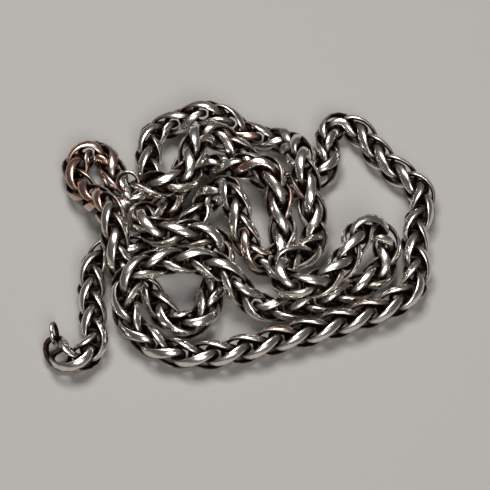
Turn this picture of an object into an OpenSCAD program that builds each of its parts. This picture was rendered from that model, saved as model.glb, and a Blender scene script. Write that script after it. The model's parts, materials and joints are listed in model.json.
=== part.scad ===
// Wheat chain necklace, lying in a loose heap, with a lobster clasp and an end ring.
// Millimetres. +Z is up from the surface that the heap lies on, +Y is away from the viewer.

/* [Chain] */
// Room along the chain from the wire of each link's end to that of the next link
link_gap = 1.95; // [1.6:0.05:2.4]
// How far a link reaches past the two links that it is threaded through
link_overhang = 1.7; // [1.4:0.05:2.1]
// Distance from the chain's axis to the middle of the wire where a link is widest
link_reach = 2.25; // [1.7:0.05:2.5]
// Turn of a link about the chain's axis, from one end to the other, in degrees
link_twist = 90; // [75:5:108]
// Thickness of the wire
wire_thickness = 0.9; // [0.7:0.05:1.05]
// Width of the flattened wire along the outside of a link
wire_width = 1.65; // [1.2:0.05:1.8]

/* [End ring] */
// Mean radius of the plain ring at the tail of the chain
ring_radius = 1.9; // [1.6:0.05:2.4]
// Thickness of the rings' wire
ring_wire = 0.7; // [0.55:0.05:0.85]

/* [Clasp] */
// Thickness of the clasp's body
clasp_thickness = 1.8; // [1.6:0.1:2.4]
// Mean radius of the clasp's hook
hook_radius = 1.85; // [1.7:0.05:2.3]
// Width of the metal of the hook, as seen from above
hook_metal = 1; // [0.8:0.05:1.2]
// Radius of the hole in the clasp's eye
eye_hole = 0.85; // [0.8:0.05:1.1]
// Thickness of the clasp's eye
eye_thickness = 1; // [0.8:0.1:1.4]
// Radius of the pin that the lever turns on
pin_radius = 0.3; // [0.25:0.01:0.36]
// Thickness of the lever
lever_thickness = 0.7; // [0.5:0.05:0.8]

/* [Hidden] */
// Distance from each link to the next along the chain, and a link's length between its wire's middles
link_pitch = wire_thickness + link_gap;
link_length = 2 * link_pitch + link_overhang;
clasp_links = 2;
tail_links = 5;
runs = 44;
function numbered(name, k) = str(name, k < 10 ? "_0" : "_", k);

// The lay of the heap: points that the chain's axis follows, for a chain 5.4 mm across.
design_width = 5.4;
// The shift stands the heap on the surface, with the middle of its box over the origin.
lay_scale = (2 * link_reach + wire_thickness) / design_width;
lay_shift = [0.05, -1.1, 0.07];
lay = [
    // clasp end, lying over the left corner
    [-20.5, 9, 8], [-17.5, 8.5, 8.4], [-14, 8.5, 8], [-11.5, 9, 8],
    // up and over the loop's tail
    [-9.5, 11.5, 8.2], [-9.5, 15, 8.5], [-9.2, 18.5, 8.3], [-7.3, 21, 7], [-4, 21, 6],
    [-1, 18.7, 4.2],
    // along the surface under the middle strands
    [1.5, 16.3, 2.7], [3.8, 14, 2.7], [6.5, 12.5, 2.7], [9.5, 12, 2.7], [12, 13.5, 2.7],
    [14.5, 15.5, 2.7], [15.3, 18, 2.7],
    // back right bend, and the long run round the right side
    [14.8, 21, 2.7], [14.7, 24, 2.7], [17, 26.6, 2.7], [20.3, 26, 2.7], [22.8, 22, 2.7],
    [25, 18, 2.7], [28.5, 14.7, 2.7], [31.5, 12, 2.7], [32.5, 8.5, 2.7], [31, 5, 2.7],
    [30, 1.5, 2.7], [30.2, -2, 2.7], [30.5, -6, 2.7], [29.8, -10, 2.7],
    // front run, from right to left
    [26.5, -13, 2.7], [22.5, -15, 2.7], [18.5, -16.5, 2.7], [14.5, -18, 2.7], [10, -19.5, 2.7],
    [6, -20.5, 2.7], [2, -22, 2.7], [-2, -23, 2.7], [-6, -24, 2.7], [-10, -24, 2.7],
    [-14, -23, 2.7], [-17.5, -20.5, 2.7], [-20, -17.5, 3],
    // left coil, climbing over itself and down again to the middle of the front
    [-21.2, -14.5, 4.7], [-20.8, -11.8, 7.8], [-18, -9.6, 8.6], [-14.5, -8, 8], [-11, -7.5, 8],
    [-7.5, -8, 8], [-4.5, -9, 8.2], [-2, -11, 7], [0, -13, 4.3], [3, -14.5, 2.7], [6.5, -14.5, 2.7],
    [10, -13.5, 2.7], [14, -12.5, 2.7], [17.5, -11, 2.7],
    // right hairpin, rising over itself
    [20.5, -9.5, 2.7], [23.5, -7.5, 2.7], [25.2, -4.5, 3], [25, -1.2, 5], [22.8, 0.2, 7.8],
    [19.8, -1.8, 8.5], [18.8, -5.5, 8.3], [16.5, -9.5, 8], [13.5, -12.5, 8], [10, -13.8, 8.3],
    [6.8, -12.8, 8.3], [5.5, -9.8, 8], [7.5, -6.8, 7],
    // right upright strand
    [10.9, -4.5, 5], [12.3, -1.5, 3], [12.5, 2.5, 3], [12, 6, 5], [11, 9, 8], [10, 13, 8.5],
    [10, 17, 7], [9, 20.5, 4],
    // back run, over its own hump to the left back corner
    [6.5, 22.8, 2.7], [3, 23, 2.7], [-0.5, 24.3, 2.7], [-3.5, 26.2, 4.8], [-7, 27, 6],
    [-10.5, 26.5, 4.5], [-13.5, 26, 3], [-16.5, 25, 2.7], [-17.8, 22, 2.7], [-17.5, 18.5, 2.7],
    [-17.3, 15, 2.7], [-17.3, 12.5, 2.7],
    // loop at the back left
    [-18.6, 10.3, 2.7], [-21, 9.8, 2.7], [-23.2, 11.5, 2.7], [-23.8, 15, 2.7], [-25.2, 19.3, 2.7],
    [-28.5, 20.3, 2.7], [-31, 17.5, 2.7], [-31, 14, 2.7], [-29, 10.5, 3], [-26.5, 7.5, 5],
    [-24.5, 5, 7.5], [-23.5, 1.5, 8.2], [-22.8, -2, 8.2], [-22.5, -5.5, 6.5], [-21, -8, 3.5],
    [-18, -9.7, 2.7],
    // small loop inside the left coil
    [-15.5, -12, 2.7], [-14.5, -15, 2.7], [-12, -17.8, 2.7], [-8.5, -17.8, 2.7], [-6.5, -15, 2.7],
    [-6, -11.5, 2.7], [-5, -8, 2.7], [-3.7, -5, 4], [-4.8, -2.5, 7], [-8, -2, 8], [-11.5, -2, 8],
    [-15, -2.3, 8], [-18, -0.3, 8.2], [-18.8, 3, 6.2], [-17, 5.3, 3.2],
    // along the surface and up to the middle strands
    [-13.6, 7, 2.7], [-11.9, 10.5, 2.7], [-12.2, 14.7, 2.7], [-9.8, 17.7, 2.7], [-6.3, 16.7, 3],
    [-3.7, 13.7, 5], [-0.8, 12.8, 7.5], [2.5, 13, 8.3],
    // middle hairpins
    [5, 11, 8.3], [6, 7.5, 7], [6.2, 4, 4.8], [6.9, 0.5, 3], [6.6, -3, 2.7], [4.2, -5.6, 2.7],
    [1.4, -4.3, 4], [-0.3, -1, 5.8], [-1, 2, 7.4], [-2, 5, 8.3], [-2.6, 8, 8], [-5.2, 9, 5.8],
    [-7.5, 8, 3.2], [-8.5, 4.6, 2.7],
    // along the surface under the middle and left strands
    [-11, 2.5, 2.7], [-14, 0.8, 2.7], [-16.5, -1.6, 2.7], [-20, -1.7, 2.7], [-23.3, -1.1, 2.7],
    // front left tail and its curl
    [-26.3, -3.2, 2.7], [-27.1, -7.2, 2.7], [-26.8, -11.5, 2.7], [-26.5, -15.5, 2.7],
    [-26, -19, 2.7], [-25.8, -22, 2.7], [-27.8, -25, 2.7], [-31.3, -25, 2.7], [-33, -22, 2.7],
    [-32.8, -18, 2.7]];

// Smooth line through the lay: a uniform cubic B-spline whose ends reach the end points.
steps_per_point = 12;
last = len(lay) - 1;
placed = [for (p = lay) lay_scale * (p + lay_shift)];
controls = concat([2 * placed[0] - placed[1]], placed, [2 * placed[last] - placed[last - 1]]);
function blend(a, b, c, d, t) =
    ((1 - t) ^ 3 * a + (3 * t ^ 3 - 6 * t ^ 2 + 4) * b
        + (-3 * t ^ 3 + 3 * t ^ 2 + 3 * t + 1) * c + t ^ 3 * d) / 6;
line = concat(
    [for (i = [0:last - 1], k = [0:steps_per_point - 1])
        blend(controls[i], controls[i + 1], controls[i + 2], controls[i + 3], k / steps_per_point)],
    [placed[last]]);

// Distance along the line at each of its points
along = [for (at = [0, 0]; at[0] < len(line);
        at = [at[0] + 1, at[0] + 1 < len(line) ? at[1] + norm(line[at[0] + 1] - line[at[0]]) : 0])
    at[1]];
line_length = along[len(along) - 1];

// The same line in even steps, each with a frame that turns as little as it can.
even_step = 0.25;
function seek(j, s) = j + 2 < len(along) && along[j + 1] < s ? seek(j + 1, s) : j;
function on_line(j, s) =
    let (f = (s - along[j]) / (along[j + 1] - along[j])) line[j] * (1 - f) + line[j + 1] * f;
even = [for (at = [0, 0]; at[1] < line_length;
        at = [seek(at[0], at[1] + even_step), at[1] + even_step])
    on_line(at[0], at[1])];
evens = len(even);
function unit(v) = v / norm(v);
function square_to(v, t) = unit(v - (v * t) * t);
headings = [for (i = [0:evens - 1]) unit(even[min(i + 1, evens - 1)] - even[max(i - 1, 0)])];
first_side = [1, 2, 0];
sides = [for (at = [0, square_to(first_side, headings[0])]; at[0] < evens;
        at = [at[0] + 1, square_to(at[1], headings[min(at[0] + 1, evens - 1)])])
    at[1]];

// A point of a straight chain (x and y across it, z along it) carried to the bent chain
function between(list, u) =
    let (i = min(max(floor(u), 0), evens - 2), f = u - i) list[i] * (1 - f) + list[i + 1] * f;
function carried(p, s) =
    let (u = (s + p.z) / even_step, side = unit(between(sides, u)),
        up = cross(unit(between(headings, u)), side))
    between(even, u) + p.x * side + p.y * up;

// Links: link_count of them, alternately twisted to the right and to the left.
end_margin = 0.2;
first_centre = end_margin + (link_length + wire_thickness) / 2;
link_count = floor((line_length - 2 * first_centre) / link_pitch) + 1;
function hand(i) = i % 2 == 0 ? 1 : -1;
function centre(i) = first_centre + i * link_pitch;
function turn_at(z, h) = (h > 0 ? 0 : 90) + h * link_twist * z / link_length;
end_roundness = 0.77;
function wire_at(a, h) =
    let (z = link_length / 2 * cos(a), t = turn_at(z, h),
        r = link_reach * sign(sin(a)) * abs(sin(a)) ^ end_roundness)
    [r * cos(t), r * sin(t), z];

// Flattened section of the wire: round at the link's ends, widest along its outer bars
stations = 12;
flattening = 1.5;
section_fill = 1.15;
function wide_at(a) = wire_thickness + (wire_width - wire_thickness) * abs(sin(a)) ^ flattening;
function section(a, h) =
    let (p = wire_at(a, h), t = turn_at(p.z, h),
        ahead = unit(wire_at(a + 1, h) - wire_at(a - 1, h)),
        flat = square_to([-sin(t), cos(t), 0], ahead), thick = cross(flat, ahead),
        w = section_fill * wide_at(a) / 2, d = section_fill * wire_thickness / 2)
    [p + w * flat, p + d * thick, p - w * flat, p - d * thick];

link_faces = [for (k = [0:stations - 1], j = [0:3], half = [0, 1])
    let (a = k * 4 + j, b = k * 4 + (j + 1) % 4, far = (k + 1) % stations * 4,
        c = far + (j + 1) % 4, d = far + j)
    half == 0 ? [a, b, c] : [a, c, d]];

module link(i) {
    points = [for (k = [0:stations - 1], p = section(360 * k / stations, hand(i)))
        carried(p, centre(i))];
    polyhedron(points, link_faces);
}

module links(from, to) {
    for (i = [from:1:to]) link(i);
}

// Nodes of links: two at the clasp, runs of a few in between, five single links at the tail
inner_links = link_count - clasp_links - tail_links;
function run_start(k) = clasp_links + floor((k - 1) * inner_links / runs);

module clasp_end_link(k) {
    color("#8e8a86") link(k - 1);
}

module chain_run(k) {
    color("#9a9590") links(run_start(k), run_start(k + 1) - 1);
}

module tail_link(k) {
    color("#8e8a86") link(link_count - tail_links + k - 1);
}

// Puts its children on the chain's axis at s, with +Z along the chain and +X turned by roll.
module on_chain(s, roll) {
    side = unit(between(sides, s / even_step));
    ahead = unit(between(headings, s / even_step));
    x = square_to(side, ahead);
    y = cross(ahead, x);
    o = between(even, s / even_step);
    multmatrix([[x.x, y.x, ahead.x, o.x], [x.y, y.y, ahead.y, o.y], [x.z, y.z, ahead.z, o.z]])
        rotate([0, 0, roll]) children();
}

// A ring hangs in the open end of its link, so its wire lies just inside the link's end.
ring_play = 0.12;
ring_inset = (wire_thickness + ring_wire) / 2 + ring_play;
ring_reach = ring_radius - ring_inset;
tail_tip = centre(link_count - 1) + link_length / 2;
clasp_tip = centre(0) - link_length / 2;

module wire_ring() {
    rotate([0, 90, 0]) rotate_extrude($fn = 48) translate([ring_radius, 0]) circle(d = ring_wire, $fn = 24);
}

module end_ring() {
    color("#a7a29c")
        on_chain(tail_tip, turn_at(link_length / 2, hand(link_count - 1)))
            translate([0, 0, ring_reach]) wire_ring();
}

module clasp_jump_ring() {
    color("#a7a29c")
        on_chain(clasp_tip, turn_at(-link_length / 2, hand(0)))
            translate([0, 0, -ring_reach]) wire_ring();
}

// Lobster clasp, drawn flat with its eye at the origin and its hook along +X
eye_metal = 0.6;
eye_outer = eye_hole + eye_metal;
hook_inner = hook_radius - hook_metal / 2;
hook_outer = hook_radius + hook_metal / 2;
shank_length = 1.8;
shank_top = 0.95;
shank_foot = 1.75;
hook_centre = eye_outer + shank_length + hook_outer;
shank_end = hook_centre - hook_inner - 0.25;
hook_gap_from = 190;
hook_gap_to = 288;
pin_clearance = 0.05;
lever_play = 0.12;
lever_metal = 0.55;
lever_root = pin_radius + 0.35;
lever_tab = 1.35;
pivot = [shank_end - 0.5, -1.05];
lever_tip = [hook_centre, 0]
    + (hook_inner - lever_metal / 2 - 0.1) * [cos(hook_gap_to), sin(hook_gap_to)];
lever_reach = norm(lever_tip - pivot);
lever_slope = atan2(lever_tip.y - pivot.y, lever_tip.x - pivot.x);
slot_height = lever_thickness + 2 * lever_play;
spring_metal = 0.15;
spring_bend = 1.2;
spring_gap = 0.2;
spring_sweep = 30;
pocket = spring_gap + 0.45;

function sector(r, from, to) =
    concat([[0, 0]], [for (a = [from:(to - from) / 4:to]) r * [cos(a), sin(a)]]);

module plate(height) {
    linear_extrude(height, center = true) children();
}

module hook_outline() {
    difference() {
        union() {
            translate([eye_outer - 0.2, -shank_foot])
                square([shank_end - eye_outer + 0.2, shank_foot + shank_top]);
            translate([hook_centre, 0]) circle(r = hook_outer, $fn = 64);
        }
        translate([hook_centre, 0]) circle(r = hook_inner, $fn = 64);
        translate([hook_centre, 0]) polygon(sector(3 * hook_outer, hook_gap_from, hook_gap_to));
    }
}

// Room that the lever, its tab and its spring turn in, between the body's two cheeks
module lever_slot() {
    room = lever_root + 0.15;
    translate(pivot) circle(r = room, $fn = 32);
    translate([pivot.x - room, pivot.y - 3]) square([3 + room, 3]);
    translate([pivot.x, pivot.y - room]) square([3, 2 * room]);
    translate([pivot.x - lever_root - pocket, pivot.y - 0.75]) square([pocket, 1.5]);
}

module clasp_at_rest() {
    ahead = unit(between(headings, clasp_tip / even_step));
    x = square_to(unit(between(sides, clasp_tip / even_step)), ahead);
    t = turn_at(-link_length / 2, hand(0));
    ring_axis = cos(t) * x + sin(t) * cross(ahead, x);
    ring_middle = between(even, clasp_tip / even_step) - ring_reach * ahead;
    level = unit(cross(ring_axis, [0, 0, 1]));
    rise = cross(level, ring_axis);
    translate(ring_middle + ring_radius * (cos(clasp_hang) * level + sin(clasp_hang) * rise))
        rotate([clasp_roll, clasp_dip, clasp_yaw]) children();
}

// Where the clasp has dropped to: its place round its ring, and how it is turned
clasp_hang = 270;
clasp_roll = 60;
clasp_dip = 44;
clasp_yaw = -110;

module clasp_body() {
    color("#a09a90") clasp_at_rest() difference() {
        union() {
            plate(eye_thickness) circle(r = eye_outer, $fn = 48);
            plate(clasp_thickness) hook_outline();
        }
        cylinder(r = eye_hole, h = 2 * clasp_thickness, center = true, $fn = 48);
        plate(slot_height) lever_slot();
        translate(pivot) cylinder(r = pin_radius, h = 2 * clasp_thickness, center = true, $fn = 32);
    }
}

module clasp_lever() {
    color("#b0aaa2") clasp_at_rest() difference() {
        plate(lever_thickness) union() {
            translate(pivot) circle(r = lever_root, $fn = 32);
            translate(pivot) rotate(lever_slope) translate([0, -lever_metal / 2])
                square([lever_reach, lever_metal]);
            translate(lever_tip) circle(r = lever_metal / 2, $fn = 32);
            translate([pivot.x - lever_metal / 2, pivot.y - lever_tab])
                square([lever_metal, lever_tab]);
        }
        translate(pivot)
            cylinder(r = pin_radius + pin_clearance, h = 2 * clasp_thickness, center = true, $fn = 32);
    }
}

module clasp_pin() {
    color("#7d7973") clasp_at_rest() translate(pivot)
        cylinder(r = pin_radius, h = clasp_thickness, center = true, $fn = 32);
}

module clasp_spring() {
    color("#7d7973") clasp_at_rest()
        translate([pivot.x - lever_root - spring_gap - spring_bend, pivot.y])
            rotate(-spring_sweep) rotate_extrude(angle = 2 * spring_sweep, $fn = 64)
                translate([spring_bend - spring_metal, -lever_thickness / 2])
                    square([spring_metal, lever_thickness]);
}

clasp_body();
clasp_lever();
clasp_pin();
clasp_spring();
clasp_jump_ring();
for (k = [1:clasp_links])
    clasp_end_link(k);
for (k = [1:runs])
    chain_run(k);
for (k = [1:tail_links])
    tail_link(k);
end_ring();
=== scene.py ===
"""A tarnished wheat chain necklace in a loose heap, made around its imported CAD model."""

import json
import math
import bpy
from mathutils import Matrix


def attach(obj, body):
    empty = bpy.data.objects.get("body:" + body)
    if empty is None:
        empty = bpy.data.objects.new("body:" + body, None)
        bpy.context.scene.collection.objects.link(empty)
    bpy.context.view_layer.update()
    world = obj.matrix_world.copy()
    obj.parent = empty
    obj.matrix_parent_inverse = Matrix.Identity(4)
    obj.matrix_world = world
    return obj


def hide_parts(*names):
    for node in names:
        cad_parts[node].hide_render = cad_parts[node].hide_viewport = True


bl_info = {
    "name": "Wheat Chain Necklace",
    "version": (1, 0, 0),
    "blender": (4, 5, 0),
    "location": "3D View > Sidebar > Necklace",
    "description": "Builds a heaped wheat chain necklace with its clasp and end ring",
    "category": "Add Mesh",
}

import bmesh
import bpy
import numpy as np
from bpy.props import FloatProperty, FloatVectorProperty, IntProperty, PointerProperty
from bpy.types import Operator, Panel, PropertyGroup
from mathutils import Matrix, Vector

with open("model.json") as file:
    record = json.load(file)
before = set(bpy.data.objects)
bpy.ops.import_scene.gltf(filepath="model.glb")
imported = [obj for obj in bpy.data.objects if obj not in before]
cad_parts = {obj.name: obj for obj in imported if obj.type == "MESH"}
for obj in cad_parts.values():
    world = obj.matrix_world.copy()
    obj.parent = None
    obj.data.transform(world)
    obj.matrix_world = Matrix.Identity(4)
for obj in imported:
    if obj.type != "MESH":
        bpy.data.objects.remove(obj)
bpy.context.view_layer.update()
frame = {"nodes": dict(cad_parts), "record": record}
NODES = frame["nodes"]
BODY_OF = {n: b for b, nodes in frame["record"]["behaviour"]["bodies"].items() for n in nodes}

MM = 0.001

# The lay of the heap: the points that the chain's axis follows, in millimetres
LAY = (
    # clasp end, lying over the left corner
    (-20.5, 9, 8), (-17.5, 8.5, 8.4), (-14, 8.5, 8), (-11.5, 9, 8),
    # up and over the loop's tail
    (-9.5, 11.5, 8.2), (-9.5, 15, 8.5), (-9.2, 18.5, 8.3), (-7.3, 21, 7), (-4, 21, 6),
    (-1, 18.7, 4.2),
    # along the surface under the middle strands
    (1.5, 16.3, 2.7), (3.8, 14, 2.7), (6.5, 12.5, 2.7), (9.5, 12, 2.7), (12, 13.5, 2.7),
    (14.5, 15.5, 2.7), (15.3, 18, 2.7),
    # back right bend, and the long run round the right side
    (14.8, 21, 2.7), (14.7, 24, 2.7), (17, 26.6, 2.7), (20.3, 26, 2.7), (22.8, 22, 2.7),
    (25, 18, 2.7), (28.5, 14.7, 2.7), (31.5, 12, 2.7), (32.5, 8.5, 2.7), (31, 5, 2.7),
    (30, 1.5, 2.7), (30.2, -2, 2.7), (30.5, -6, 2.7), (29.8, -10, 2.7),
    # front run, from right to left
    (26.5, -13, 2.7), (22.5, -15, 2.7), (18.5, -16.5, 2.7), (14.5, -18, 2.7), (10, -19.5, 2.7),
    (6, -20.5, 2.7), (2, -22, 2.7), (-2, -23, 2.7), (-6, -24, 2.7), (-10, -24, 2.7),
    (-14, -23, 2.7), (-17.5, -20.5, 2.7), (-20, -17.5, 3),
    # left coil, climbing over itself and down again to the middle of the front
    (-21.2, -14.5, 4.7), (-20.8, -11.8, 7.8), (-18, -9.6, 8.6), (-14.5, -8, 8), (-11, -7.5, 8),
    (-7.5, -8, 8), (-4.5, -9, 8.2), (-2, -11, 7), (0, -13, 4.3), (3, -14.5, 2.7), (6.5, -14.5, 2.7),
    (10, -13.5, 2.7), (14, -12.5, 2.7), (17.5, -11, 2.7),
    # right hairpin, rising over itself
    (20.5, -9.5, 2.7), (23.5, -7.5, 2.7), (25.2, -4.5, 3), (25, -1.2, 5), (22.8, 0.2, 7.8),
    (19.8, -1.8, 8.5), (18.8, -5.5, 8.3), (16.5, -9.5, 8), (13.5, -12.5, 8), (10, -13.8, 8.3),
    (6.8, -12.8, 8.3), (5.5, -9.8, 8), (7.5, -6.8, 7),
    # right upright strand
    (10.9, -4.5, 5), (12.3, -1.5, 3), (12.5, 2.5, 3), (12, 6, 5), (11, 9, 8), (10, 13, 8.5),
    (10, 17, 7), (9, 20.5, 4),
    # back run, over its own hump to the left back corner
    (6.5, 22.8, 2.7), (3, 23, 2.7), (-0.5, 24.3, 2.7), (-3.5, 26.2, 4.8), (-7, 27, 6),
    (-10.5, 26.5, 4.5), (-13.5, 26, 3), (-16.5, 25, 2.7), (-17.8, 22, 2.7), (-17.5, 18.5, 2.7),
    (-17.3, 15, 2.7), (-17.3, 12.5, 2.7),
    # loop at the back left
    (-18.6, 10.3, 2.7), (-21, 9.8, 2.7), (-23.2, 11.5, 2.7), (-23.8, 15, 2.7), (-25.2, 19.3, 2.7),
    (-28.5, 20.3, 2.7), (-31, 17.5, 2.7), (-31, 14, 2.7), (-29, 10.5, 3), (-26.5, 7.5, 5),
    (-24.5, 5, 7.5), (-23.5, 1.5, 8.2), (-22.8, -2, 8.2), (-22.5, -5.5, 6.5), (-21, -8, 3.5),
    (-18, -9.7, 2.7),
    # small loop inside the left coil
    (-15.5, -12, 2.7), (-14.5, -15, 2.7), (-12, -17.8, 2.7), (-8.5, -17.8, 2.7), (-6.5, -15, 2.7),
    (-6, -11.5, 2.7), (-5, -8, 2.7), (-3.7, -5, 4), (-4.8, -2.5, 7), (-8, -2, 8), (-11.5, -2, 8),
    (-15, -2.3, 8), (-18, -0.3, 8.2), (-18.8, 3, 6.2), (-17, 5.3, 3.2),
    # along the surface and up to the middle strands
    (-13.6, 7, 2.7), (-11.9, 10.5, 2.7), (-12.2, 14.7, 2.7), (-9.8, 17.7, 2.7), (-6.3, 16.7, 3),
    (-3.7, 13.7, 5), (-0.8, 12.8, 7.5), (2.5, 13, 8.3),
    # middle hairpins
    (5, 11, 8.3), (6, 7.5, 7), (6.2, 4, 4.8), (6.9, 0.5, 3), (6.6, -3, 2.7), (4.2, -5.6, 2.7),
    (1.4, -4.3, 4), (-0.3, -1, 5.8), (-1, 2, 7.4), (-2, 5, 8.3), (-2.6, 8, 8), (-5.2, 9, 5.8),
    (-7.5, 8, 3.2), (-8.5, 4.6, 2.7),
    # along the surface under the middle and left strands
    (-11, 2.5, 2.7), (-14, 0.8, 2.7), (-16.5, -1.6, 2.7), (-20, -1.7, 2.7), (-23.3, -1.1, 2.7),
    # front left tail and its curl
    (-26.3, -3.2, 2.7), (-27.1, -7.2, 2.7), (-26.8, -11.5, 2.7), (-26.5, -15.5, 2.7),
    (-26, -19, 2.7), (-25.8, -22, 2.7), (-27.8, -25, 2.7), (-31.3, -25, 2.7), (-33, -22, 2.7),
    (-32.8, -18, 2.7))
# Shift that puts the middle of the heap over the origin and its underside on the surface
LAY_SHIFT = (0.05, -1.1, 0.07)
# Steps of the smooth line between two points of the lay, and the distance between its even points
STEPS_PER_POINT = 12
RAIL_STEP = 0.25
# A direction that the first side vector is squared to
FIRST_SIDE = (1, 2, 0)
# Room left at both ends of the line, and how full a link's ends are (1 is a plain oval, less is fuller)
END_MARGIN = 0.2
END_ROUNDNESS = 0.77

# Links in nodes of their own at the clasp and at the tail, and the runs between them
CLASP_LINKS = 2
TAIL_LINKS = 5
RUNS = 44

# How rubbed the inside of the wire is, how much less rubbed a link's ends are, and how soon a bar narrows
# towards its ends
INNER_WEAR = 0.12
TIP_SHELTER = 0.55
BAR_TAPER = 1.8

# Sizes of a link and of its wire at the start, in millimetres
LINK_PITCH = 2.85
LINK_LENGTH = 7.4
WIRE = 0.9
# Air between a ring's wire and the link end that it lies in
RING_PLAY = 0.12

# Where the plate has worn through to copper: distance along the chain, spread along it, and how much
WORN_PLACES = ((112, 5, 0.4), (128, 5, 0.4), (162, 6, 0.4), (300, 5, 0.45), (346, 12, 0.75), (362, 6, 0.6),
               (437, 5, 0.35), (467, 6, 0.5), (485, 6, 0.4))
# The most that a link is worn elsewhere, by chance, and the seed for that chance
TINT_BY_CHANCE = 0.45
TINT_SEED = 7


def srgb(hex_colour):
    """A hex colour as a linear one."""
    parts = [int(hex_colour[k:k + 2], 16) / 255 for k in (0, 2, 4)]
    return tuple(c / 12.92 if c <= 0.04045 else ((c + 0.055) / 1.055) ** 2.4 for c in parts) + (1.0,)


class NecklaceSizes(PropertyGroup):
    """Sizes of the chain's links and of its rings."""

    pitch: FloatProperty(
        name="Pitch", description="Distance from each link to the next, in millimetres",
        default=LINK_PITCH, min=2.0)
    link_length: FloatProperty(
        name="Link length", description="Length between the wire's middles at a link's ends, in millimetres",
        default=LINK_LENGTH, min=4.0)
    link_reach: FloatProperty(
        name="Link reach", default=2.25, min=1.0,
        description="Distance from the chain's axis to the wire at its widest, in millimetres")
    link_twist: FloatProperty(
        name="Link twist", description="Turn of a link from one end to the other",
        default=math.radians(90), subtype="ANGLE")
    wire: FloatProperty(
        name="Wire", description="Thickness of the links' wire, in millimetres", default=WIRE, min=0.3)
    bar_width: FloatProperty(
        name="Bar width", description="Width of a link's flattened outer bars, in millimetres",
        default=1.76, min=0.3)
    bar_thickness: FloatProperty(
        name="Bar thickness", description="Thickness of a link's flattened outer bars, in millimetres",
        default=0.78, min=0.2)
    stations: IntProperty(
        name="Stations", description="Sections along one link's wire", default=24, min=12, max=64)
    ring_radius: FloatProperty(
        name="Ring radius", description="Mean radius of the two plain rings, in millimetres",
        default=1.9, min=1.0)
    ring_wire: FloatProperty(
        name="Ring wire", description="Thickness of the rings' wire, in millimetres", default=0.7, min=0.2)


class NecklaceFinish(PropertyGroup):
    """Colours of the metal and of the surface that the heap lies on."""

    silver: FloatVectorProperty(
        name="Silver", description="Rubbed silver plate", subtype="COLOR", size=4, default=srgb("E8E2DA"),
        min=0, max=1)
    film: FloatVectorProperty(
        name="Film", description="Thin brown film on plate that a cloth misses", subtype="COLOR", size=4,
        default=srgb("8B7C71"), min=0, max=1)
    copper: FloatVectorProperty(
        name="Copper", description="Copper alloy where the plate is worn through", subtype="COLOR", size=4,
        default=srgb("CC9781"), min=0, max=1)
    tarnish: FloatVectorProperty(
        name="Tarnish", description="Sulphide in the gaps", subtype="COLOR", size=4, default=srgb("281B14"),
        min=0, max=1)
    table: FloatVectorProperty(
        name="Surface", description="The surface under the heap", subtype="COLOR", size=4,
        default=srgb("94918D"), min=0, max=1)


# ---------------------------------------------------------------- the chain's axis


def unit(v):
    """The vector, or each row of vectors, with a length of 1."""
    return v / np.linalg.norm(v, axis=-1, keepdims=True)


def chain_rail():
    """Even points along the chain's axis, with the heading and the side at each, in millimetres."""
    lay = np.array(LAY, float) + LAY_SHIFT
    ends = [2 * lay[0] - lay[1]], [2 * lay[-1] - lay[-2]]
    p = np.concatenate([ends[0], lay, ends[1]])
    t = (np.arange(STEPS_PER_POINT) / STEPS_PER_POINT)[None, :, None]
    a, b, c, d = (p[k:len(p) - 3 + k, None] for k in range(4))
    curve = ((1 - t) ** 3 * a + (3 * t ** 3 - 6 * t ** 2 + 4) * b
             + (-3 * t ** 3 + 3 * t ** 2 + 3 * t + 1) * c + t ** 3 * d) / 6
    line = np.concatenate([curve.reshape(-1, 3), lay[-1:]])
    along = np.concatenate([[0], np.cumsum(np.linalg.norm(np.diff(line, axis=0), axis=1))])
    stops = np.arange(0, along[-1], RAIL_STEP)
    even = np.column_stack([np.interp(stops, along, line[:, k]) for k in range(3)])
    heading = unit(np.concatenate([even[1:2] - even[:1], even[2:] - even[:-2], even[-1:] - even[-2:-1]]))
    side = np.zeros_like(even)
    at = np.array(FIRST_SIDE, float)
    for k, ahead in enumerate(heading):
        at = unit(at - (at @ ahead) * ahead)
        side[k] = at
    return even, heading, side, along[-1]


EVEN, HEADING, SIDE, LINE_LENGTH = chain_rail()
# How far along the line the first link's middle is, and how many links the line holds
FIRST_CENTRE = END_MARGIN + (LINK_LENGTH + WIRE) / 2
LINK_COUNT = int((LINE_LENGTH - 2 * FIRST_CENTRE) // LINK_PITCH) + 1


def hand(i):
    """Which way link i is twisted."""
    return 1 if i % 2 == 0 else -1


def on_chain(s, turn=0.0):
    """Matrix (in millimetres) of the chain's axis at s, with +Z ahead and +X turned about it."""
    k = min(max(s / RAIL_STEP, 0), len(EVEN) - 1.001)
    i, f = int(k), k - int(k)
    point, ahead, side = (values[i] * (1 - f) + values[i + 1] * f for values in (EVEN, HEADING, SIDE))
    ahead = unit(ahead)
    x = unit(side - (side @ ahead) * ahead)
    y = np.cross(ahead, x)
    m = Matrix.Identity(4)
    for row in range(3):
        m[row][0], m[row][1], m[row][2], m[row][3] = x[row], y[row], ahead[row], point[row]
    return m @ Matrix.Rotation(turn, 4, "Z")


# ---------------------------------------------------------------- small helpers


def add(tree, kind, links=None, **settings):
    """Adds one node to a tree, with its settings and with a value or a link for each named input."""
    made = tree.nodes.new(kind)
    for name, value in settings.items():
        setattr(made, name, value)
    for socket, value in (links or {}).items():
        if isinstance(value, bpy.types.NodeSocket):
            tree.links.new(value, made.inputs[socket])
        else:
            made.inputs[socket].default_value = value
    return made


def mesh_object(name, vertices, faces):
    mesh = bpy.data.meshes.new(name)
    mesh.from_pydata([tuple(v) for v in vertices], [], faces)
    mesh.update()
    mesh.polygons.foreach_set("use_smooth", [True] * len(mesh.polygons))
    made = bpy.data.objects.new(name, mesh)
    bpy.context.collection.objects.link(made)
    return made


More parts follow.
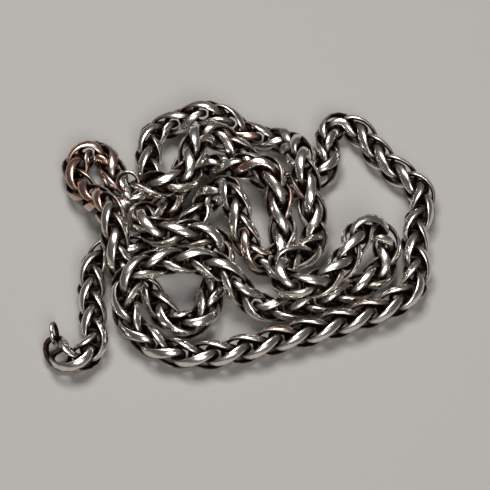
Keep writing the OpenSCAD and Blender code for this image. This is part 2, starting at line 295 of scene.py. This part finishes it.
def applied(obj, name):
    """The object as its modifiers leave it, as a plain mesh object under a new name."""
    graph = bpy.context.evaluated_depsgraph_get()
    mesh = bpy.data.meshes.new_from_object(obj.evaluated_get(graph))
    mesh.name = name
    made = bpy.data.objects.new(name, mesh)
    bpy.context.collection.objects.link(made)
    return made


def drop(*objects):
    for obj in objects:
        bpy.data.objects.remove(obj, do_unlink=True)


def store(mesh, name, values, kind="FLOAT"):
    """Keeps a value, or a vector, for each of the mesh's vertices."""
    layer = mesh.attributes.new(name, kind, "POINT")
    layer.data.foreach_set("value" if kind == "FLOAT" else "vector", np.ravel(values))


def face_outward(mesh):
    work = bmesh.new()
    work.from_mesh(mesh)
    bmesh.ops.recalc_face_normals(work, faces=work.faces)
    work.to_mesh(mesh)
    work.free()


def settle(piece, nodes):
    """Hangs the piece on the body that it rides on and hides the CAD nodes that it stands for."""
    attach(piece, BODY_OF[nodes[0]])
    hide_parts(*nodes)


# ---------------------------------------------------------------- metals


def principled(name):
    material = bpy.data.materials.new(name)
    material.use_nodes = True
    tree = material.node_tree
    return material, tree, tree.nodes["Principled BSDF"]


def tarnished_silver(finish):
    """Silver plate on a copper alloy, antiqued and then rubbed: bright where a cloth reaches, brown
    beside that, nearly black in the gaps, and pinkish where the plate has worn thin."""
    material, tree, shader = principled("tarnished_silver_plate")
    here = add(tree, "ShaderNodeTexCoord").outputs["Object"]
    wear = add(tree, "ShaderNodeAttribute", attribute_name="wear").outputs["Fac"]
    tint = add(tree, "ShaderNodeAttribute", attribute_name="tint").outputs["Fac"]

    # Clouds of tarnish about 1 mm across break up the edges between bright, brown and black
    clouds = add(tree, "ShaderNodeTexNoise",
                 {"Vector": here, "Scale": 900.0, "Detail": 4.0, "Roughness": 0.6})
    jitter = add(tree, "ShaderNodeMath", {0: clouds.outputs["Fac"], 1: -0.5}, operation="ADD")
    rubbed = add(tree, "ShaderNodeMath", {0: jitter.outputs[0], 1: 0.5, 2: wear}, operation="MULTIPLY_ADD")
    thin = add(tree, "ShaderNodeMapRange", {"Value": rubbed.outputs[0], "From Min": 0.36, "From Max": 0.8},
               interpolation_type="SMOOTHSTEP")
    bright = add(tree, "ShaderNodeMapRange", {"Value": rubbed.outputs[0], "From Min": 0.55, "From Max": 0.9},
                 interpolation_type="SMOOTHSTEP")

    # Copper shows where the chain has rubbed most, in patches about 2 mm across
    patches = add(tree, "ShaderNodeTexNoise",
                  {"Vector": here, "Scale": 420.0, "Detail": 2.0, "Roughness": 0.5})
    worn = add(tree, "ShaderNodeMath", {0: patches.outputs["Fac"], 1: tint}, operation="MULTIPLY")
    coppery = add(tree, "ShaderNodeMapRange",
                  {"Value": worn.outputs[0], "From Min": 0.22, "From Max": 0.5, "To Max": 0.75},
                  interpolation_type="SMOOTHSTEP")

    coat = add(tree, "ShaderNodeMix", {"Factor": bright.outputs[0], 6: finish.film, 7: finish.silver},
               data_type="RGBA")
    plate = add(tree, "ShaderNodeMix", {"Factor": coppery.outputs[0], 6: coat.outputs[2], 7: finish.copper},
                data_type="RGBA")
    metal = add(tree, "ShaderNodeMix", {"Factor": thin.outputs[0], 6: finish.tarnish, 7: plate.outputs[2]},
                data_type="RGBA")

    # Lines from drawing and polishing, about 0.15 mm apart, run along the wire and split its highlights
    drawn = add(tree, "ShaderNodeAttribute", attribute_name="drawn").outputs["Vector"]
    along = add(tree, "ShaderNodeVectorMath", {0: drawn, 1: (6.5, 6.5, 0.7)}, operation="MULTIPLY")
    each = add(tree, "ShaderNodeMath", {0: tint, 1: 97.0}, operation="MULTIPLY")
    moved = add(tree, "ShaderNodeVectorMath", {0: along.outputs[0], 1: each.outputs[0]}, operation="ADD")
    lines = add(tree, "ShaderNodeTexNoise",
                {"Vector": moved.outputs[0], "Scale": 1.0, "Detail": 3.0, "Roughness": 0.6})
    rough = add(tree, "ShaderNodeMapRange", {"Value": bright.outputs[0], "To Min": 0.36, "To Max": 0.14})
    uneven = add(tree, "ShaderNodeMath", {0: lines.outputs["Fac"], 1: 0.18, 2: rough.outputs[0]},
                 operation="MULTIPLY_ADD")
    # Small dents about 0.7 mm across, from links knocking on each other, bend the reflections
    dents = add(tree, "ShaderNodeTexNoise", {"Vector": here, "Scale": 1400.0, "Detail": 2.0})
    bump = add(tree, "ShaderNodeBump", {"Strength": 0.3, "Distance": 0.00006, "Height": dents.outputs["Fac"]})
    bump = add(tree, "ShaderNodeBump",
               {"Strength": 0.35, "Distance": 0.00002, "Height": lines.outputs["Fac"],
                "Normal": bump.outputs[0]})

    tree.links.new(metal.outputs[2], shader.inputs["Base Color"])
    tree.links.new(uneven.outputs[0], shader.inputs["Roughness"])
    tree.links.new(bump.outputs[0], shader.inputs["Normal"])
    shader.inputs["Metallic"].default_value = 1.0
    return material


def chain_metal(finish):
    """The chain's material, made once and shared."""
    return bpy.data.materials.get("tarnished_silver_plate") or tarnished_silver(finish)


# ---------------------------------------------------------------- links


def link_shape(sizes, side_sign):
    """One straight link's mesh in millimetres, with how rubbed each corner is and where it lies in the
    drawn wire: an oval whose two sides wind about the chain's axis, round at its ends and rolled flat
    along its outer bars."""
    stations = sizes.stations
    section = ((1.0, 0.0), (0.88, 0.62), (0.46, 0.97), (-0.46, 0.97), (-0.88, 0.62),
               (-1.0, 0.0), (-0.58, -0.84), (0.58, -0.84))
    start = 0.0 if side_sign > 0 else math.pi / 2

    def turn(z):
        return start + side_sign * sizes.link_twist * z / sizes.link_length

    def wire_at(a):
        z = sizes.link_length / 2 * math.cos(a)
        r = sizes.link_reach * math.copysign(abs(math.sin(a)) ** END_ROUNDNESS, math.sin(a))
        return np.array([r * math.cos(turn(z)), r * math.sin(turn(z)), z])

    points, wear, drawn, faces = [], [], [], []
    for k in range(stations):
        a = 2 * math.pi * (k + 0.5) / stations
        p = wire_at(a)
        ahead = unit(wire_at(a + 0.01) - wire_at(a - 0.01))
        flat = np.array([-math.sin(turn(p[2])), math.cos(turn(p[2])), 0])
        flat = unit(flat - (flat @ ahead) * ahead)
        out = np.cross(flat, ahead)
        if math.sin(a) * (out @ np.array([math.cos(turn(p[2])), math.sin(turn(p[2])), 0])) < 0:
            out = -out
            flat = -flat
        bar = abs(math.sin(a)) ** BAR_TAPER
        half_width = (sizes.wire + (sizes.bar_width - sizes.wire) * bar) / 2
        half_thick = (sizes.wire + (sizes.bar_thickness - sizes.wire) * bar) / 2
        for across, outward in section:
            points.append(p + flat * across * half_width + out * outward * half_thick)
            drawn.append((across * half_width, outward * half_thick, p[2]))
            high = 0.5 + 0.5 * outward
            tip = abs(math.cos(a)) ** 3
            wear.append((INNER_WEAR + (1 - INNER_WEAR) * high ** 1.2) * (1 - TIP_SHELTER * tip))
    n = len(section)
    for k in range(stations):
        for j in range(n):
            a, b = k * n + j, k * n + (j + 1) % n
            c, d = (k + 1) % stations * n + (j + 1) % n, (k + 1) % stations * n + j
            faces.append((a, b, c, d))
    return np.array(points), wear, drawn, faces


def link_object(name, sizes, side_sign):
    points, wear, drawn, faces = link_shape(sizes, side_sign)
    made = mesh_object(name, points * MM, faces)
    store(made.data, "wear", wear)
    store(made.data, "drawn", drawn, "FLOAT_VECTOR")
    face_outward(made.data)
    return made


def rail_object():
    """The chain's axis as a line of vertices, with the side at each kept as an attribute."""
    mesh = bpy.data.meshes.new("chain_axis")
    mesh.from_pydata([tuple(p * MM) for p in EVEN], [(k, k + 1) for k in range(len(EVEN) - 1)], [])
    store(mesh, "side", SIDE, "FLOAT_VECTOR")
    made = bpy.data.objects.new("chain_axis", mesh)
    bpy.context.collection.objects.link(made)
    return made


def links_tree():
    """Geometry Nodes that thread a run of links on the chain's axis and bend each one to it."""
    tree = bpy.data.node_groups.new("Wheat Chain Run", "GeometryNodeTree")
    face = tree.interface
    face.new_socket("Geometry", in_out="INPUT", socket_type="NodeSocketGeometry")
    for name, kind in (("First link", "NodeSocketInt"), ("Links", "NodeSocketInt"),
                       ("First centre", "NodeSocketFloat"), ("Pitch", "NodeSocketFloat"),
                       ("Tint seed", "NodeSocketInt"), ("Right link", "NodeSocketObject"),
                       ("Left link", "NodeSocketObject"), ("Metal", "NodeSocketMaterial")):
        face.new_socket(name, in_out="INPUT", socket_type=kind)
    face.new_socket("Geometry", in_out="OUTPUT", socket_type="NodeSocketGeometry")
    inputs = add(tree, "NodeGroupInput").outputs

    axis = add(tree, "GeometryNodeMeshToCurve", {"Mesh": inputs["Geometry"]})
    index = add(tree, "GeometryNodeInputIndex")
    number = add(tree, "ShaderNodeMath", {0: index.outputs[0], 1: inputs["First link"]}, operation="ADD")
    spots = add(tree, "GeometryNodePoints", {"Count": inputs["Links"]})
    centre = add(tree, "ShaderNodeMath",
                 {0: number.outputs[0], 1: inputs["Pitch"], 2: inputs["First centre"]},
                 operation="MULTIPLY_ADD")
    spots = add(tree, "GeometryNodeStoreNamedAttribute",
                {"Geometry": spots.outputs[0], "Name": "centre", "Value": centre.outputs[0]},
                data_type="FLOAT", domain="POINT")
    chance = add(tree, "FunctionNodeRandomValue",
                 {"Min": 0.0, "Max": 1.0, "ID": number.outputs[0], "Seed": inputs["Tint seed"]},
                 data_type="FLOAT")
    spots = add(tree, "GeometryNodeStoreNamedAttribute",
                {"Geometry": spots.outputs[0], "Name": "tint", "Value": chance.outputs[1]},
                data_type="FLOAT", domain="POINT")
    odd = add(tree, "ShaderNodeMath", {0: number.outputs[0], 1: 2.0}, operation="MODULO")
    is_odd = add(tree, "FunctionNodeCompare", {0: odd.outputs[0], 1: 0.5}, data_type="FLOAT",
                 operation="GREATER_THAN")
    is_even = add(tree, "FunctionNodeBooleanMath", {0: is_odd.outputs[0]}, operation="NOT")
    both = add(tree, "GeometryNodeJoinGeometry")
    for name, choice in (("Right link", is_even), ("Left link", is_odd)):
        shape = add(tree, "GeometryNodeObjectInfo", {"Object": inputs[name]}, transform_space="ORIGINAL")
        placed = add(tree, "GeometryNodeInstanceOnPoints",
                     {"Points": spots.outputs[0], "Selection": choice.outputs[0],
                      "Instance": shape.outputs["Geometry"]})
        tree.links.new(placed.outputs[0], both.inputs[0])
    straight = add(tree, "GeometryNodeRealizeInstances", {"Geometry": both.outputs[0]})

    local = add(tree, "ShaderNodeSeparateXYZ", {0: add(tree, "GeometryNodeInputPosition").outputs[0]})
    middle = add(tree, "GeometryNodeInputNamedAttribute", {"Name": "centre"}, data_type="FLOAT")
    far = add(tree, "ShaderNodeMath", {0: local.outputs["Z"], 1: middle.outputs[0]}, operation="ADD")
    side = add(tree, "GeometryNodeInputNamedAttribute", {"Name": "side"}, data_type="FLOAT_VECTOR")
    sample = add(tree, "GeometryNodeSampleCurve",
                 {"Curves": axis.outputs[0], "Value": side.outputs[0], "Length": far.outputs[0]},
                 mode="LENGTH", data_type="FLOAT_VECTOR", use_all_curves=True)
    value, point, tangent = (sample.outputs[k] for k in ("Value", "Position", "Tangent"))
    lean = add(tree, "ShaderNodeVectorMath", {0: value, 1: tangent}, operation="PROJECT")
    square = add(tree, "ShaderNodeVectorMath", {0: value, 1: lean.outputs[0]}, operation="SUBTRACT")
    across = add(tree, "ShaderNodeVectorMath", {0: square.outputs[0]}, operation="NORMALIZE")
    up = add(tree, "ShaderNodeVectorMath", {0: tangent, 1: across.outputs[0]}, operation="CROSS_PRODUCT")
    by_x, by_y = (add(tree, "ShaderNodeVectorMath", {0: way.outputs[0], "Scale": local.outputs[axis_name]},
                      operation="SCALE") for way, axis_name in ((across, "X"), (up, "Y")))
    part = add(tree, "ShaderNodeVectorMath", {0: point, 1: by_x.outputs[0]}, operation="ADD")
    whole = add(tree, "ShaderNodeVectorMath", {0: part.outputs[0], 1: by_y.outputs[0]}, operation="ADD")
    bent = add(tree, "GeometryNodeSetPosition",
               {"Geometry": straight.outputs[0], "Position": whole.outputs[0]})
    real = add(tree, "GeometryNodeRealizeInstances", {"Geometry": bent.outputs[0]})
    clad = add(tree, "GeometryNodeSetMaterial", {"Geometry": real.outputs[0], "Material": inputs["Metal"]})
    add(tree, "NodeGroupOutput", {"Geometry": clad.outputs[0]})
    return tree


def thread_links(name, first, count, rail, shapes, sizes, metal, tree):
    """One run of links as a plain mesh."""
    modifier = rail.modifiers.new("links", "NODES")
    modifier.node_group = tree
    ident = {item.name: item.identifier for item in tree.interface.items_tree if item.in_out == "INPUT"}
    for label, value in (("First link", first), ("Links", count), ("First centre", FIRST_CENTRE * MM),
                         ("Pitch", sizes.pitch * MM), ("Tint seed", TINT_SEED), ("Right link", shapes[0]),
                         ("Left link", shapes[1]), ("Metal", metal)):
        modifier[ident[label]] = value
    made = applied(rail, name)
    rail.modifiers.remove(modifier)
    corners = len(made.data.vertices)
    centre, tint = np.empty(corners, np.float32), np.empty(corners, np.float32)
    made.data.attributes["centre"].data.foreach_get("value", centre)
    made.data.attributes["tint"].data.foreach_get("value", tint)
    tint *= TINT_BY_CHANCE
    for s, spread, depth in WORN_PLACES:
        tint += depth * np.exp(-((centre / MM - s) / spread) ** 2)
    made.data.attributes["tint"].data.foreach_set("value", np.clip(tint, 0, 1))
    return made


def run_start(k):
    return CLASP_LINKS + (k - 1) * (LINK_COUNT - CLASP_LINKS - TAIL_LINKS) // RUNS


class NECKLACE_OT_chain(Operator):
    """Threads every link of the chain, one piece for each of its runs"""

    bl_idname = "necklace.chain"
    bl_label = "Chain"

    def execute(self, context):
        sizes, finish = context.scene.necklace_sizes, context.scene.necklace_finish
        metal = chain_metal(finish)
        tree = links_tree()
        rail = rail_object()
        shapes = [link_object("link_right", sizes, 1), link_object("link_left", sizes, -1)]
        jobs = [(f"clasp_end_link_{k:02d}", k - 1, 1) for k in range(1, CLASP_LINKS + 1)]
        jobs += [(f"chain_run_{k:02d}", run_start(k), run_start(k + 1) - run_start(k))
                 for k in range(1, RUNS + 1)]
        jobs += [(f"tail_link_{k:02d}", LINK_COUNT - TAIL_LINKS + k - 1, 1) for k in range(1, TAIL_LINKS + 1)]
        for node, first, count in jobs:
            piece = thread_links(node + "_wire", first, count, rail, shapes, sizes, metal, tree)
            settle(piece, [node])
        drop(rail, *shapes)
        return {"FINISHED"}


# ---------------------------------------------------------------- rings and clasp


def plain_ring(name, sizes, place, metal):
    """A ring of round wire, closed with a butt joint that shows as a fine line."""
    around, sides, joint, joint_depth = 72, 16, 0.03, 0.12
    points, faces, wear = [], [], []
    for k in range(around):
        a = 2 * math.pi * k / around
        thick = sizes.ring_wire / 2 * (1 - joint_depth * math.exp(-(a / joint) ** 2))
        for j in range(sides):
            b = 2 * math.pi * j / sides
            r = sizes.ring_radius + thick * math.cos(b)
            points.append((thick * math.sin(b), r * math.cos(a), r * math.sin(a)))
            wear.append(0.5 + 0.4 * math.cos(b))
    for k in range(around):
        for j in range(sides):
            faces.append((k * sides + j, k * sides + (j + 1) % sides,
                          (k + 1) % around * sides + (j + 1) % sides, (k + 1) % around * sides + j))
    placed = [place @ Vector(p) * MM for p in points]
    made = mesh_object(name, placed, faces)
    store(made.data, "wear", wear)
    store(made.data, "tint", np.full(len(wear), 0.3))
    face_outward(made.data)
    made.data.materials.append(metal)
    return made


class NECKLACE_OT_rings(Operator):
    """Makes the clasp's jump ring and the ring at the end of the tail"""

    bl_idname = "necklace.rings"
    bl_label = "Rings"

    def execute(self, context):
        sizes, finish = context.scene.necklace_sizes, context.scene.necklace_finish
        metal = chain_metal(finish)
        reach = sizes.ring_radius - (sizes.wire + sizes.ring_wire) / 2 - RING_PLAY
        half = sizes.link_length / 2
        last = LINK_COUNT - 1
        for node, s, sign, i in (("end_ring", FIRST_CENTRE + last * sizes.pitch + half, 1, last),
                                 ("clasp_jump_ring", FIRST_CENTRE - half, -1, 0)):
            turn = (0 if hand(i) > 0 else math.pi / 2) + hand(i) * sizes.link_twist * sign / 2
            place = on_chain(s, turn) @ Matrix.Translation((0, 0, sign * reach))
            settle(plain_ring(node + "_wire", sizes, place, metal), [node])
        return {"FINISHED"}


class NECKLACE_OT_clasp(Operator):
    """Finishes the lobster clasp: its body, lever, pin and spring"""

    bl_idname = "necklace.clasp"
    bl_label = "Clasp"

    def execute(self, context):
        finish = context.scene.necklace_finish
        metal = chain_metal(finish)
        for node, slot in (("clasp_body", "clasp_metal"), ("clasp_lever", "lever_metal"),
                           ("clasp_pin", "pin_steel"), ("clasp_spring", "pin_steel")):
            source = NODES[node]
            mesh = source.data.copy()
            work = bmesh.new()
            work.from_mesh(mesh)
            bmesh.ops.remove_doubles(work, verts=work.verts, dist=1e-7)
            bmesh.ops.dissolve_limit(work, angle_limit=math.radians(2), verts=work.verts, edges=work.edges)
            work.to_mesh(mesh)
            work.free()
            piece = bpy.data.objects.new(node + "_metal", mesh)
            bpy.context.collection.objects.link(piece)
            # The body's edges are tumbled round, and those of the small parts are only broken
            bevel = piece.modifiers.new("soft edges", "BEVEL")
            bevel.width = (0.14 if node == "clasp_body" else 0.05) * MM
            bevel.segments = 3
            bevel.limit_method = "ANGLE"
            bevel.angle_limit = math.radians(40)
            bevel.harden_normals = True
            finished = applied(piece, node + "_shape")
            drop(piece)
            for label, value in (("wear", 0.8), ("tint", 0.5)):
                store(finished.data, label, np.full(len(finished.data.vertices), value))
            finished.data.materials.clear()
            finished.data.materials.append(metal)
            finished.data.polygons.foreach_set("use_smooth", [True] * len(finished.data.polygons))
            settle(finished, [node])
        return {"FINISHED"}


# ---------------------------------------------------------------- stage


class NECKLACE_OT_stage(Operator):
    """Sets up the pale surface, the soft light and the camera"""

    bl_idname = "necklace.stage"
    bl_label = "Stage"

    def execute(self, context):
        finish = context.scene.necklace_finish
        scene = context.scene
        reach = 1.2
        corners = [(-reach, -reach, 0), (reach, -reach, 0), (reach, reach, 0), (-reach, reach, 0)]
        floor = mesh_object("surface", corners, [(0, 1, 2, 3)])
        material, tree, shader = principled("matt_board")
        here = add(tree, "ShaderNodeTexCoord").outputs["Object"]
        # Paper fibres about 0.4 mm long give the board a faint tooth
        fibre = add(tree, "ShaderNodeTexNoise", {"Vector": here, "Scale": 2500.0, "Detail": 3.0})
        tone = add(tree, "ShaderNodeMix",
                   {"Factor": fibre.outputs["Fac"], 6: [c * 0.97 for c in finish.table],
                    7: [min(c * 1.03, 1) for c in finish.table]}, data_type="RGBA")
        bump = add(tree, "ShaderNodeBump",
                   {"Strength": 0.1, "Distance": 0.00005, "Height": fibre.outputs["Fac"]})
        tree.links.new(tone.outputs[2], shader.inputs["Base Color"])
        tree.links.new(bump.outputs[0], shader.inputs["Normal"])
        shader.inputs["Roughness"].default_value = 0.85
        floor.data.materials.append(material)

        def lamp(name, place, aim, breadth, power):
            light = bpy.data.lights.new(name, "AREA")
            light.shape = "DISK"
            light.size = breadth
            light.energy = power
            made = bpy.data.objects.new(name, light)
            scene.collection.objects.link(made)
            made.location = place
            made.rotation_euler = (Vector(place) - Vector(aim)).to_track_quat("Z", "Y").to_euler()

        # A softbox overhead gives the bars their bright streaks; a second one lights the front of the surface
        lamp("overhead_softbox", (-0.06, 0.16, 0.55), (0, 0, 0), 0.30, 3.9)
        lamp("front_fill", (0.12, -0.50, 0.50), (0, -0.1, 0), 0.30, 2.9)
        world = bpy.data.worlds.new("studio")
        scene.world = world
        world.use_nodes = True
        background = world.node_tree.nodes["Background"]
        background.inputs["Color"].default_value = srgb("C9C8C6")
        background.inputs["Strength"].default_value = 0.13

        camera = bpy.data.cameras.new("camera")
        eye = bpy.data.objects.new("camera", camera)
        scene.collection.objects.link(eye)
        # The camera looks down at the heap, and the picture is a little wider than the heap is
        distance, rise, width = 0.40, math.radians(55), 0.0875
        lift = 0.9 * MM
        aim = Vector(LAY_SHIFT) * MM + Vector((0, math.sin(rise), math.cos(rise))) * lift
        eye.location = aim + Vector((0, -math.cos(rise), math.sin(rise))) * distance
        eye.rotation_euler = (math.pi / 2 - rise, 0, 0)
        camera.sensor_width = 36
        camera.lens = camera.sensor_width * distance / width
        camera.clip_start = 0.01
        scene.camera = eye
        scene.view_settings.view_transform = "Standard"
        return {"FINISHED"}


# ---------------------------------------------------------------- add-on


class NECKLACE_PT_panel(Panel):
    """Lists the necklace's pieces, sizes and colours"""

    bl_label = "Necklace"
    bl_idname = "NECKLACE_PT_panel"
    bl_space_type = "VIEW_3D"
    bl_region_type = "UI"
    bl_category = "Necklace"

    def draw(self, context):
        for operator in OPERATORS:
            self.layout.operator(operator.bl_idname)
        for group in (context.scene.necklace_sizes, context.scene.necklace_finish):
            for name in group.__annotations__:
                self.layout.prop(group, name)


OPERATORS = (NECKLACE_OT_stage, NECKLACE_OT_chain, NECKLACE_OT_rings, NECKLACE_OT_clasp)
CLASSES = (NecklaceSizes, NecklaceFinish, *OPERATORS, NECKLACE_PT_panel)


def register():
    for cls in CLASSES:
        bpy.utils.register_class(cls)
    bpy.types.Scene.necklace_sizes = PointerProperty(type=NecklaceSizes)
    bpy.types.Scene.necklace_finish = PointerProperty(type=NecklaceFinish)


def unregister():
    del bpy.types.Scene.necklace_finish
    del bpy.types.Scene.necklace_sizes
    for cls in reversed(CLASSES):
        bpy.utils.unregister_class(cls)


def main():
    register()
    for operator in OPERATORS:
        group, name = operator.bl_idname.split(".")
        getattr(getattr(bpy.ops, group), name)()


if __name__ == "__main__":
    main()
